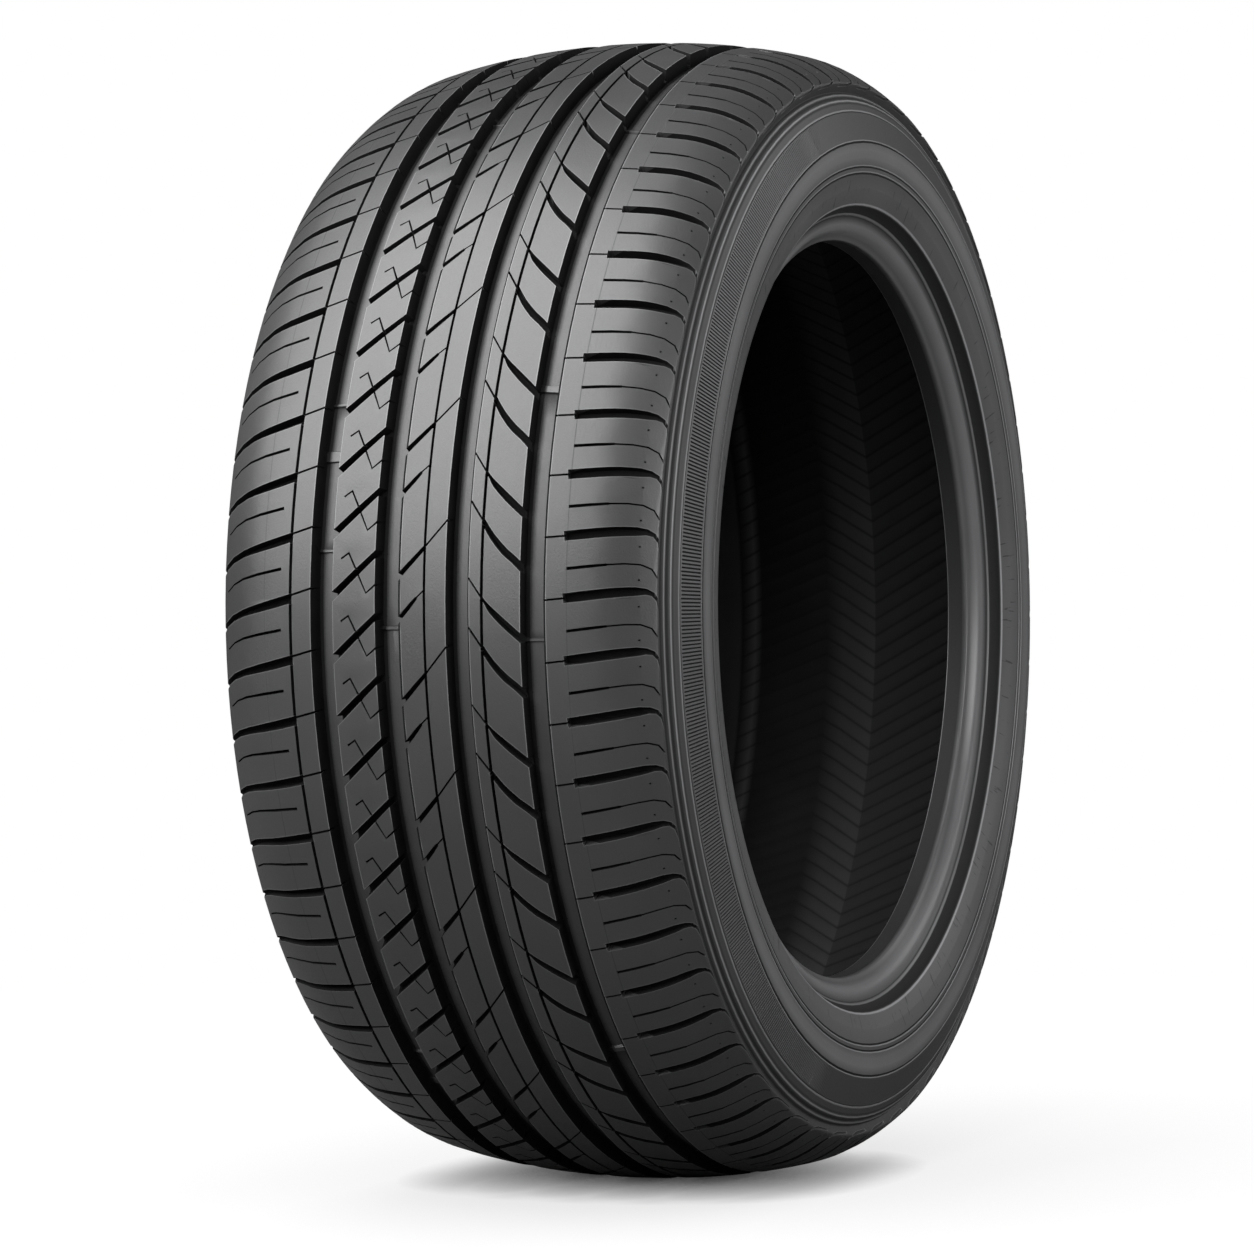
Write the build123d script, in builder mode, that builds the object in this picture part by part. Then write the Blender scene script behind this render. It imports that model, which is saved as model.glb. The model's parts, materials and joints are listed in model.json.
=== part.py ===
"""A car tyre: one moulded rubber piece, bare of any wheel, standing on its tread.

The tyre is drawn lying on its side, with the wheel's axle on Z and the dressed
side, the one that faces out on a car, up. The last block stands it on its tread,
with the axle along Y, the dressed side towards -Y and the wheel's centre at the
origin. Millimetres and degrees throughout.
"""

import os
from math import degrees, sqrt

from build123d import *

# Tread, seen across it
outer_dia = 680.0  # over the middle rib
level_width = 51.0  # the level middle of the tread
crown_width = 200.0  # the gently arched part, level middle included
crown_drop = 11.6  # fall of the tread from its middle to the ends of that arch
bend_width = 236.0  # where the shoulders bend over
bend_drop = 18.2
tread_width = 262.0  # between the outer edges of the shoulder blocks
shoulder_drop = 29.0

# Sidewalls
section_width = 284.6  # over the widest part
widest_share = 0.6  # of the way from the lip up to the rib below the blocks
bulge_inset = 1.2  # in from the widest part, halfway down to the lip
ring_groove = 2.6  # how far the groove below the shoulder blocks goes in
ring_groove_height = 5.6  # from the edge of the blocks down to the bottom of that groove
ring_rib = 4.2  # how far the rib below that groove stands out of it
ring_rib_height = 4.0
lip_height = 20.0  # lip that covers the edge of the rim, above the bead seat
lip_inset = 6.5  # in from the widest part
flange_height = 14.6  # hollow for the flange of the rim
flange_inset = 14.3

# Beads
seat_dia = 436.6  # for a 17 inch rim
seat_width = 12.0  # level land of each bead seat
toe_gap = 214.0  # between the toes of the two beads

# Thickness of the rubber
tread_wall = 19.5  # at the middle of the tread
side_wall = 9.0  # at the widest part
lining_width = 180.0  # level part of the lining, under the tread

# Main grooves, from the plain side to the dressed side: place across the tread and width
main_grooves = ((-57.2, 15.4), (-16.2, 14.6), (25.5, 13.0), (68.5, 12.0))
groove_depth = 8.0

# Cross grooves of the two shoulders, repeated round the tread
pitch_count = 62
cross_width = 4.6
cross_depth = 5.5
cross_run_out = 1.0  # rubber left between the end of a cross groove and the edge of the blocks
outer_cross_start = 84.5  # dressed side
outer_cross_turn = 177.9  # where the first one lies, round the axle
inner_cross_start = -79.0  # plain side
inner_cross_turn = 179.0

# Where the tyre stands
flat_depth = 1.5  # rubber pressed flat by the ground

clear = 12.0  # cutters reach this far past the rubber

outer_r = outer_dia / 2
seat_r = seat_dia / 2
half_level = level_width / 2
half_crown = crown_width / 2
half_tread = tread_width / 2
half_width = section_width / 2
half_toe = toe_gap / 2
arch_rise = (crown_drop**2 + half_crown**2 - half_level**2) / (2 * crown_drop)


def crown_at(place):
    """Radius of the tread's arch at a place across it."""
    return min(outer_r, outer_r - arch_rise + sqrt(arch_rise**2 + half_level**2 - place**2))


# Points of the half section on the dressed side: radius, then place along the axle
arch_end = (crown_at(half_crown), half_crown)
bend = (outer_r - bend_drop, bend_width / 2)
edge = (outer_r - shoulder_drop, half_tread)
ring_bottom = (edge[0] - ring_groove_height, half_tread - ring_groove)
ring_top = (ring_bottom[0] - ring_rib_height, ring_bottom[1] + ring_rib)
lip = (seat_r + lip_height, half_width - lip_inset)
widest = (lip[0] + widest_share * (ring_top[0] - lip[0]), half_width)
bulge = ((widest[0] + lip[0]) / 2, half_width - bulge_inset)
flange = (seat_r + flange_height, half_width - flange_inset)
seat = (seat_r, half_toe + seat_width)
toe = (seat_r, half_toe)
lining_side = (widest[0], half_width - side_wall)
lining_shoulder = (outer_r - tread_wall, lining_width / 2)
lining_middle = (lining_shoulder[0], 0)

groove_places = [place for place, width in main_grooves]
arch = [(crown_at(place), place) for place in (-half_crown, *groove_places, half_crown)]

with BuildPart() as casing:
    with BuildSketch(Plane.XZ):
        with BuildLine():
            Polyline(arch)
            bead = Polyline(widest, bulge, lip, flange, seat, toe)
            lining = Polyline(toe, lining_side, lining_shoulder, lining_middle)
            mirror((bead, lining), about=Plane.XZ)
            Polyline(arch_end, bend, edge, ring_bottom, ring_top, widest)
            Polyline([(radius, -place) for radius, place in (arch_end, bend, edge, widest)])
        make_face()
    revolve(axis=Axis.Z)
    with BuildSketch(Plane.XZ):
        for place, width in main_grooves:
            with Locations((crown_at(place) - groove_depth, place)):
                Rectangle(groove_depth + clear, width, align=(Align.MIN, Align.CENTER))
    revolve(axis=Axis.Z, mode=Mode.SUBTRACT)


def cross_groove(start, turn):
    """Groove across a shoulder from a start to just short of its edge, at a turn round the axle."""
    side = 1 if start > 0 else -1
    share = cross_run_out / (edge[1] - bend[1])
    end = (edge[0] + share * (bend[0] - edge[0]), side * (half_tread - cross_run_out))
    width = degrees(cross_width / outer_r)
    with BuildPart() as cutter:
        with BuildSketch(Plane.XZ):
            with BuildLine():
                Polyline(
                    (crown_at(start) - cross_depth, start),
                    end,
                    (outer_r + clear, end[1]),
                    (outer_r + clear, start),
                    close=True,
                )
            make_face()
        revolve(axis=Axis.Z, revolution_arc=width)
    return cutter.part.rotate(Axis.Z, turn - width / 2)


cross_grooves = (
    cross_groove(outer_cross_start, outer_cross_turn),
    cross_groove(inner_cross_start, inner_cross_turn),
)

with BuildPart(Plane.XZ) as tyre:
    add(casing.part)
    with PolarLocations(0, pitch_count):
        add(cross_grooves, mode=Mode.SUBTRACT)
    with Locations((0, flat_depth - outer_r, 0)):
        level = (Align.CENTER, Align.MAX, Align.CENTER)
        Box(outer_r, clear, section_width, align=level, mode=Mode.SUBTRACT)

tyre.part.label = "tyre"
os.makedirs("parts", exist_ok=True)
export_step(tyre.part, "parts/tyre.step")
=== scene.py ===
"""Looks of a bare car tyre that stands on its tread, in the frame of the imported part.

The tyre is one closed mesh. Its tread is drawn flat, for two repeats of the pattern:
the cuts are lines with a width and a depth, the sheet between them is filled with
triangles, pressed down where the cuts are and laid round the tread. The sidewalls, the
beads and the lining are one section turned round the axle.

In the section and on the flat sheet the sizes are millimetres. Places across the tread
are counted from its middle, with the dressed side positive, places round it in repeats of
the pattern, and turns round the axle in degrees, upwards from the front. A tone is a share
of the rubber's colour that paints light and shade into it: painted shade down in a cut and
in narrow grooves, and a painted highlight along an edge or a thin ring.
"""

import copy
import json
import math

import bmesh
import bpy
import numpy as np
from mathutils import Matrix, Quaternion, Vector
from mathutils.geometry import delaunay_2d_cdt


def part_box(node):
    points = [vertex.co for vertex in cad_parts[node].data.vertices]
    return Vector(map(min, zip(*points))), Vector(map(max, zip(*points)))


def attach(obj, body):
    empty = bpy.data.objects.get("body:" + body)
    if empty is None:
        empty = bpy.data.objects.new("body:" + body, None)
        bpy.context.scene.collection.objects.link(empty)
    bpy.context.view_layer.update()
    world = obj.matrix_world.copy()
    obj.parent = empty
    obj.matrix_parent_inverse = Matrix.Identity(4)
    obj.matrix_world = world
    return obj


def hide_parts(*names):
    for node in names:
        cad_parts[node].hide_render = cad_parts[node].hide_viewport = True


bl_info = {
    "name": "Car tyre",
    "version": (1, 0, 0),
    "blender": (4, 5, 0),
    "location": "3D View > Sidebar > Tyre",
    "description": "Builds a bare car tyre with its tread, and a plain studio around it",
    "category": "Object",
}

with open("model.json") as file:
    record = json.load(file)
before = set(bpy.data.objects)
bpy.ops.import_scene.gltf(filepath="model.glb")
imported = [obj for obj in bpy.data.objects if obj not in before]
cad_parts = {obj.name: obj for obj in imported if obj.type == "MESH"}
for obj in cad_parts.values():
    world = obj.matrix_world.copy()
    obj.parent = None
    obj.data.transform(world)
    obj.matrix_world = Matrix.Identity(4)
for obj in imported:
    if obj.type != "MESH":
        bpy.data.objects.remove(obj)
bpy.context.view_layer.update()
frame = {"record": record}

MM = 0.001

# Main sizes, read from the frame
box_low, box_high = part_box("tyre")
seat_mount = next(m for m in frame["record"]["mounts"] if m["name"] == "bead_seat")
outer_r = (box_high.x - box_low.x) / 2 / MM
half_width = (box_high.y - box_low.y) / 2 / MM
seat_r = seat_mount["dims"]["r_mm"]
half_seat = seat_mount["dims"]["length_mm"] / 2
ground = box_low.z / MM

# Repeats of the pattern round the tread
pitch_count = 62
pitch_turn = 360 / pitch_count
first_pitch = 1.70  # turn of the first repeat
true_depth = 2.0  # below the crown, where lengths on the flat sheet are true
pitch_length = 2 * math.pi * (outer_r - true_depth) / pitch_count
pitch_steps = 2
columns = pitch_count * pitch_steps
sector_pitches = 2  # repeats drawn on one flat sheet
sector_count = pitch_count // sector_pitches
sector_steps = sector_pitches * pitch_steps
sector_length = sector_pitches * pitch_length
cut_reach = 4  # repeats that cuts are moved either way to fill a sheet

# Shape of the tread across it
crown_fall = 0.34  # how fast the arch falls
crown_sharp = 0.54  # and how much faster towards its ends
crown_steps = 130
roll_start = 100.0  # where the shoulders begin to bend over
roll_off = 0.0081
edge_place = 131.0  # outer edge of the shoulder blocks
edge_round = 2.0
ring_inset = 2.6  # bottom of the groove below the blocks, in from their edge
ring_height = 87.1  # and above the bead seat
ring_bottom = (edge_place - ring_inset, seat_r + ring_height)

# Main grooves, from the plain side to the dressed side: place across the tread and width
main_grooves = ((-58.5, 13.8), (-17.3, 14.0), (24.5, 12.5), (67.2, 12.8))
ledge_widths = (0.2, 1.1, 0.6, 0.9)  # narrow step along each groove's dressed side
groove_depth = 8.0
slit_depth = 5.0
mould_lines = (-97.0, 86.0)  # faint rings where the parts of the mould met

# Points of the flat sheet
grid_lines = 35  # rows of loose points, borders included
grid_clear = 1.6  # from a loose point to the nearest edge of a cut
border_fade = 2.5  # where the cuts run out towards the sidewalls
near = 0.001  # a point this near to a line lies on it
weld = 0.0001  # points nearer than this become one

# Fine ridges of the dressed sidewall, on the arc that faces the front
knurl_count = pitch_count * 14
knurl_depth = 0.8
knurl_reach = 74.0  # degrees from the front
knurl_fade = 14.0  # degrees over which they run out
knurl_shape = ((0.0, 0.0), (0.22, 0.0), (0.36, 1.0), (0.86, 1.0))  # share of a ridge's room, height
knurl_ends = (0.04, 0.96)  # where they start and end, as shares of their band
# tones of the fine ridges: a painted highlight on their tops and painted shade down in their valleys
ridge_painted_highlight = 2.2
valley_painted_shade = 0.03

# Longest steps of the sidewall's outline
dressed_step = 4.0  # above the ridges
plain_step = 6.0  # the same stretch on the plain side
lower_step = 18.0
toe_rise = 1.0  # the toe ends at the last point this near to the bead seat

# Lining under the tread, with fine lines pressed into it
tread_wall = 19.5
lining_r = outer_r - tread_wall
lining_half = 76.0
lining_ribs = pitch_count * 3
lining_edge = 2.0  # from the lining's edge to the ends of the lines
line_depth = 0.35
line_shade = 0.65  # how much of the tone the lines take away

# Tones, which paint light and shade into the rubber's colour
deep_painted_shade = 0.05  # painted shade down in a cut
# painted shade on a cut's rim
rim_painted_shade = 0.35
edge_painted_highlight = 5.0  # painted highlight along the edges of the blocks
painted_band_share = 0.35  # of the band of painted highlight, from the rim to its lightest line
toned_depth = 1.5  # cuts shallower than this get less painted shade
ring_painted_shade = 0.75  # painted shade where the tread runs into the ring groove
groove_inset = 0.05  # further inside its edge a main groove has only its own tones
# painted shade and light on the floor of a main groove: dark by the plain side's wall, lit towards the
# dressed side's, with painted shade at its foot
floor_painted_tones = ((0.0, 0.03), (2.2, 0.03), (3.8, 0.65), (5.5, 0.95))  # from the plain side's wall, tone
foot_painted_tones = ((0.9, 0.9), (0.0, 0.2))  # from the dressed side's wall, tone

# Tones that tell the triangles of a cut from those of a block
cut_limit = 0.45  # in a cut a triangle is darker
floor_limit = 0.1  # the same on the floor of a main groove
wall_limit = 0.2  # a cut's wall has a corner darker than this,
lit_limit = 1.5  # and none as light as this

# Kinds of rubber, in the order of the mesh's materials. The last is a darker, duller copy of the tread rubber
# for faces down in the cuts: painted shade.
TREAD, SIDE, LINING, CUT = range(4)

# Marks of the dressed side, by height above the bead seat
scuff_start = (20.7, 22.2)
scuff_end = (34.7, 37.7)
bead_sheen = (13.7, 21.7)  # below this the bead is smoother

# Studio, in metres
white = (1, 1, 1, 1)
floor_reach = 12.0
floor_fade = (0.9, 1.5)  # where the floor turns plain white
wide_shadow = 0.8  # reach of the soft shadow on the floor
close_shadow = 0.035  # reach of the dark line under the tread
shadow_samples = 16
panels = (  # name, place, size and the setting for the power
    ("front light", (-1.30, 0.66, 1.42), (2.6, 3.0), "front_power"),
    ("side light", (1.7, -1.80, 0.95), (1.4, 1.6), "side_power"),
    ("bead light", (-0.70, -1.9, 0.55), (0.9, 0.9), "bead_power"),
)

# Camera
sensor_width = 36.0
photo_width = 1254  # pixels
photo_shift = (-31.7, -16.5)  # pixels that the picture is moved by


def crown_r(place):
    """Radius of the tread at a place across it."""
    share = place / outer_r
    arch = outer_r * (1 - crown_fall * share**2 - crown_sharp * share**4)
    return arch - roll_off * max(0.0, abs(place) - roll_start) ** 2


def rounded(corners, steps=5, most_share=0.49):
    """Points (place, radius, tone) of an outline through corners, some of which have a rounding too."""
    sharp = [np.array(corner[:3], float) for corner in corners]
    points = []
    for i, (_, _, tone, *rounding) in enumerate(corners):
        if not rounding:
            points.append(sharp[i])
            continue
        middle = sharp[i][:2]
        back = sharp[i - 1][:2] - middle
        ahead = sharp[i + 1][:2] - middle
        back_length = np.hypot(*back)
        ahead_length = np.hypot(*ahead)
        back = back / back_length
        ahead = ahead / ahead_length
        half = math.acos(np.clip(back @ ahead, -1, 1)) / 2
        reach = min(rounding[0] / math.tan(half), most_share * back_length, most_share * ahead_length)
        first = middle + reach * back
        last = middle + reach * ahead
        for step in range(steps + 1):
            share = step / steps
            spot = (1 - share) ** 2 * first + 2 * share * (1 - share) * middle + share**2 * last
            points.append(np.array([*spot, tone]))
    return points


def tread_profile():
    """Outline of the tread from one ring groove over the crown to the other, and the length along it."""
    crown = [(place, crown_r(place)) for place in np.linspace(0, edge_place - edge_round, crown_steps)]
    edge = (edge_place, crown_r(edge_place), 1, edge_round)
    end = rounded([crown[-1] + (1,), edge, ring_bottom + (1,)])
    half = np.array(crown + [tuple(point[:2]) for point in end[1:]])
    mirrored = half[:0:-1] * (-1, 1)
    outline = np.vstack([mirrored, half])
    steps = np.hypot(*np.diff(outline, axis=0).T)
    length = np.concatenate([[0], np.cumsum(steps)])
    length -= length[-1] / 2
    return outline, length


outline, outline_length = tread_profile()
sheet_half = outline_length[-1]
edge_lengths = outline_length[[-7, -5, -4, -2]]  # four of the six points round the edge of the blocks


def smooth_slants(reach=9.0, samples=1201):
    """Direction square to the tread along the outline, evened out over a reach so deep cuts don't cross."""
    even = np.linspace(-sheet_half, sheet_half, samples)
    place = np.interp(even, outline_length, outline[:, 0])
    radius = np.interp(even, outline_length, outline[:, 1])
    slant = np.unwrap(np.arctan2(-np.gradient(radius), np.gradient(place)))
    count = int(reach / (even[1] - even[0])) | 1
    padded = np.pad(slant, count // 2, mode="edge")
    return even, np.convolve(padded, np.ones(count) / count, mode="valid")


slant_length, slant_angle = smooth_slants()


def across(place):
    """Length along the tread's outline at a place across it. Past the edge it counts on down the wall."""
    middle = len(outline) // 2
    crown_places = outline[middle:middle + crown_steps, 0]
    crown_lengths = outline_length[middle:middle + crown_steps]
    size = abs(place)
    past = max(0.0, size - crown_places[-1])
    return math.copysign(np.interp(size, crown_places, crown_lengths) + past, place)


def on_tread(length, turn, depth):
    """Points on the tread from lengths along its outline, turns round the axle and depths."""
    place = np.interp(length, outline_length, outline[:, 0])
    radius = np.interp(length, outline_length, outline[:, 1])
    slant = np.interp(length, slant_length, slant_angle)
    return turned(place - depth * np.sin(slant), radius - depth * np.cos(slant), turn)


def turned(place, radius, turn):
    """Points in metres, at turns round the axle. None lies below the ground."""
    angle = np.radians(turn)
    height = np.maximum(radius * np.sin(angle), ground)
    return np.stack([-radius * np.cos(angle), -place + 0 * angle, height], axis=-1) * MM


def from_front(turn):
    """Degrees from the front, either way."""
    return np.abs((turn + 180) % 360 - 180)


def line_round(length):
    """Line right through a sector of the flat sheet, at a length along the tread's outline."""
    stops = np.linspace(0, sector_length, sector_steps + 1)
    return np.stack([np.full(len(stops), length), stops], axis=1)


class TreadCut:
    """What all cuts share: a floor, a steep wall, a rim and in some a band of painted highlight beside it.

    A cut measures the gap from points to its edge, below nothing inside it, and its depth
    beside them. Its lines are those of the flat sheet, each with whether it is closed.
    """

    def __init__(self, wall, rim, highlight_tone, band):
        self.wall = wall
        self.rim = rim
        # tones against the gap to the edge: painted shade down in the cut, and with a band, a darker rim and
        # a painted highlight beside it
        steps = [(-wall, deep_painted_shade), (rim, 1.0)]
        if band:
            lightest = rim + painted_band_share * band
            steps = [(-wall, deep_painted_shade), (rim, rim_painted_shade), (lightest, highlight_tone), (rim + band, 1.0)]
        self.gaps, self.tones = np.array(steps).T

    def shape(self, points):
        """Depth and tone that the cut gives to points."""
        gap, full = self.measure(points)
        rim = np.minimum(self.rim, full)
        share = np.clip(-gap / self.wall, 0, 1)
        depth = np.where(gap < 0, rim + share * (full - rim), np.clip(rim - gap, 0, None))
        tone = np.interp(gap, self.gaps, self.tones)
        return depth, np.where(tone > 1, tone, 1 + (tone - 1) * np.clip(full / toned_depth, 0, 1))


class RingCut(TreadCut):
    """A groove or slit that runs right round the tread."""

    def __init__(self, place, width, depth, wall=0.15, rim=0.15, highlight_tone=1.0, band=0.0):
        super().__init__(wall, rim, highlight_tone, band)
        self.middle = across(place)
        self.half = width / 2
        self.full = depth

    def measure(self, points):
        return np.abs(points[:, 0] - self.middle) - self.half, np.full(len(points), self.full)

    def lines(self):
        for grow in self.gaps:
            for side in (-1, 1):
                yield line_round(self.middle + side * (self.half + grow)), False


class MainGroove(RingCut):
    """A main groove, with a narrow ledge along its dressed side.

    The light comes from the plain side, and the tones add painted shade on the floor by that wall and painted
    light by the other.
    """

    def __init__(self, place, width, ledge):
        super().__init__(place, width, groove_depth, wall=0.9, rim=0.2, highlight_tone=edge_painted_highlight, band=0.7)
        self.ledge_gaps = np.array([0.0, ledge, ledge + 0.2, ledge + 0.8])
        self.ledge_depths = (0.45, 0.35, 0.0, 0.0)
        # painted shade on the ledge, then a painted highlight along the rib's edge beside it
        ledge_tones = (deep_painted_shade, deep_painted_shade, edge_painted_highlight, 1.0)
        reach = self.half - self.wall
        steps = [(start - reach, tone) for start, tone in floor_painted_tones]
        steps += [(reach - start, tone) for start, tone in foot_painted_tones]
        steps += [(self.half + gap, tone) for gap, tone in zip(self.ledge_gaps, ledge_tones)]
        self.offsets, self.offset_tones = np.array(steps).T

    def lines(self):
        for grow in self.gaps:
            yield line_round(self.middle - self.half - grow), False
        for offset in self.offsets[1:]:
            yield line_round(self.middle + offset), False

    def on_floor(self, points):
        return self.measure(points)[0] < near - self.wall

    def shape(self, points):
        depth, tone = super().shape(points)
        offset = points[:, 0] - self.middle
        gap = offset - self.half
        depth = np.where(gap >= -near, np.interp(gap, self.ledge_gaps, self.ledge_depths), depth)
        on_far_side = (offset > 0) & (gap > -self.wall)
        own_tone = np.interp(offset, self.offsets, self.offset_tones)
        return depth, np.where(self.on_floor(points) | on_far_side, own_tone, tone)


class Cut(TreadCut):
    """A cut along a line across the tread: its stops are place, repeat, width and depth."""

    least_mitre = 0.5
    least_half = 0.05  # from the middle of the cut to its innermost line

    def __init__(self, stops, every=1, bends=1, wall=0.12, rim=0.12, highlight_tone=1.0, band=0.0):
        super().__init__(wall, rim, highlight_tone, band)
        stops = np.array(stops, float)
        stops[:, 0] = [across(place) for place in stops[:, 0]]
        stops[:, 1] *= pitch_length
        self.stops = curve_through(stops, bends)
        self.every = every

    def moved(self, pitches):
        other = copy.copy(self)
        other.stops = self.stops + np.array([0, pitches * pitch_length, 0, 0])
        return other

    def measure(self, points):
        path = self.stops[:, :2]
        run = np.diff(path, axis=0)
        size = np.hypot(*run.T)
        heading = run / size[:, None]
        away = points[:, None] - path[None, :-1]
        along = (away * heading).sum(2)
        aside = np.abs(away[..., 0] * heading[:, 1] - away[..., 1] * heading[:, 0])
        within = np.clip(along, 0, size)
        distance = np.hypot(aside, along - within)
        best = distance.argmin(1)
        rows = np.arange(len(points))
        spot = best + within[rows, best] / size[best]
        half = np.interp(spot, np.arange(len(path)), self.stops[:, 2]) / 2
        full = np.interp(spot, np.arange(len(path)), self.stops[:, 3])
        before = np.where(best == 0, -along[:, 0], -np.inf)
        after = np.where(best == len(size) - 1, along[:, -1] - size[-1], -np.inf)
        past = np.maximum(before, after)
        beside = np.where(past > 0, aside[rows, best], distance[rows, best]) - half
        outside = np.hypot(np.maximum(beside, 0), np.maximum(past, 0))
        return outside + np.minimum(np.maximum(beside, past), 0), full

    def lines(self):
        path = self.stops[:, :2]
        run = np.diff(path, axis=0)
        run /= np.hypot(*run.T)[:, None]
        ahead = np.vstack([run, run[-1:]])
        behind = np.vstack([run[:1], run])
        middle = ahead + behind
        middle /= np.hypot(*middle.T)[:, None]
        mitre = 1 / np.clip((middle * ahead).sum(1), self.least_mitre, 1)
        side = np.stack([-middle[:, 1], middle[:, 0]], axis=1) * mitre[:, None]
        for grow in self.gaps:
            spine = path.copy()
            spine[0] -= grow * run[0]
            spine[-1] += grow * run[-1]
            offset = side * np.maximum(self.stops[:, 2] / 2 + grow, self.least_half)[:, None]
            yield np.vstack([spine + offset, (spine - offset)[::-1]]), True


def curve_through(stops, bends):
    """Smooth line through stops, with a number of steps between each two. One step keeps it straight."""
    if bends == 1:
        return stops
    ends = np.vstack([2 * stops[0] - stops[1], stops, 2 * stops[-1] - stops[-2]])
    points = []
    for a, b, c, d in zip(ends, ends[1:], ends[2:], ends[3:]):
        for step in range(bends):
            x = step / bends
            points.append(b + x * (c - a) / 2 + x**2 * (a - 2.5 * b + 2 * c - d / 2)
                          + x**3 * (1.5 * (b - c) + (d - a) / 2))
    return np.vstack([points, stops[-1:]])


def ring_cuts():
    """Four main grooves and three slits."""
    slits = ((-79.0, 1.7), (5.4, 1.2), (38.9, 1.4))  # place across the tread and width
    cuts = [MainGroove(*groove, ledge) for groove, ledge in zip(main_grooves, ledge_widths)]
    return cuts + [RingCut(place, width, slit_depth) for place, width in slits]


def wide_cut(stops, **settings):
    """A cut wide enough to see into, with painted highlights along its edges."""
    return Cut(stops, wall=0.3, rim=0.25, highlight_tone=0.7 * edge_painted_highlight, band=0.55, **settings)


def dressed_shoulder():
    """Cross grooves of the dressed shoulder, slits that lead to them, slits between and vent marks."""
    groove = [(84.4, 0.0, 4.9, 6.0), (93, 0.029, 5.0, 6.0), (101, 0.057, 5.0, 6.0), (106, 0.074, 5.0, 5.9),
              (111, 0.090, 5.0, 5.7), (116, 0.103, 4.8, 5.2), (121, 0.112, 4.5, 4.4),
              (125.5, 0.110, 3.1, 2.6), (128.6, 0.068, 1.8, 1.5), (131.2, -0.04, 1.1, 0.9),
              (132.8, -0.26, 0.9, 0.65), (133.5, -0.74, 0.7, 0.45)]
    lead = [(73.5, -0.03, 0.9, 3.0), (84.6, 0.0, 0.9, 3.0)]
    thick = [(86, 0.475, 1.5, 4.0), (97, 0.512, 1.5, 4.0), (107, 0.545, 1.2, 4.0)]
    thin = [(106.8, 0.545, 0.7, 3.0), (116, 0.567, 0.7, 3.0), (123, 0.560, 0.7, 2.5),
            (128, 0.490, 0.7, 2.0), (131, 0.34, 0.7, 1.0)]
    vents = [[(122.0, repeat, 0.8, 1.2), (122.8, repeat, 0.8, 1.2)] for repeat in (0.30, 0.86)]
    return [wide_cut(groove)] + [Cut(stops) for stops in (lead, thick, thin, *vents)]


def plain_shoulder():
    """Cross grooves of the plain shoulder, the fine slits over the narrow rib and the blind slits between."""
    groove = [(-78.6, 0.035, 4.7, 6.0), (-90, -0.045, 4.7, 6.0), (-101, -0.118, 4.3, 6.0),
              (-107, -0.158, 3.9, 5.6), (-113, -0.20, 3.6, 5.0),
              (-122, -0.29, 3.2, 4.0), (-128, -0.40, 2.7, 3.0), (-132, -0.52, 2.0, 1.0)]
    lead = [(-79.0, 0.085, 1.0, 3.5), (-63.5, 0.205, 1.0, 3.5)]
    blind = [(-85.5, 0.52, 1.5, 4.0), (-102, 0.44, 1.4, 4.0), (-113, 0.375, 1.1, 3.5),
             (-121, 0.29, 0.8, 3.0), (-127, 0.17, 0.7, 2.0)]
    return [wide_cut(groove), Cut(lead), Cut(blind)]


def slanted_rib():
    """Slanted cuts of the rib between the first two main grooves, and the bent slits that cross them."""
    slant = [(-53.2, 0.010, 3.8, 6.5), (-37, 0.413, 3.4, 6.5), (-22.4, 0.773, 2.8, 6.5)]
    bent = [(-45.8, 0.66, 0.9, 3.0), (-41.1, 0.75, 0.9, 3.0), (-36.5, 0.49, 0.9, 3.0),
            (-30.1, 0.10, 0.7, 3.0), (-23.0, 0.265, 0.9, 3.0)]
    return [wide_cut(slant), Cut(bent)]


def middle_rib():
    """Slots of the middle rib, long and short by turns, and the fine slits that carry them on."""
    long_slot = [(-12.5, 0.29, 2.7, 5.5), (-3, 0.57, 2.4, 5.5), (5.6, 0.825, 1.9, 5.5)]
    long_slit = [(5.4, 0.825, 0.8, 3.5), (19.8, 1.305, 0.8, 3.5)]
    short_slot = [(-12.5, -0.400, 2.4, 5.5), (-3, -0.10, 2.1, 5.5), (0.7, 0.02, 1.4, 5.5)]
    short_slit = [(0.6, 0.02, 0.6, 3.5), (5.8, 0.155, 0.6, 3.5)]
    slots = [Cut(stops, every=2, wall=0.2, rim=0.15) for stops in (long_slot, short_slot)]
    return slots + [Cut(stops, every=2) for stops in (long_slit, short_slit)]


def hooked_rib():
    """Hooked cuts from the last slit down to the last main groove, and the fine slits above them."""
    thin_hook = [(38.8, 2.02, 0.9, 4.0), (41.5, 1.92, 1.3, 5.0), (44.4, 1.81, 2.7, 6.5),
                 (51.5, 1.61, 3.6, 6.5), (58, 1.44, 3.6, 6.5), (62.6, 1.322, 3.5, 6.5)]
    thick_hook = [(38.9, 1.23, 2.2, 5.0), (44.2, 0.99, 2.9, 6.5), (51.4, 0.75, 3.6, 6.5),
                  (57, 0.613, 3.6, 6.5), (62.8, 0.443, 3.5, 6.5)]
    thin_lead = [(31.3, 2.33, 0.7, 3.0), (38.8, 2.02, 0.7, 3.0)]
    thick_lead = [(31.3, 1.55, 0.9, 3.0), (38.9, 1.23, 0.9, 3.0)]
    hooks = [wide_cut(stops, every=2, bends=2) for stops in (thin_hook, thick_hook)]
    return hooks + [Cut(stops, every=2) for stops in (thin_lead, thick_lead)]


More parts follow.
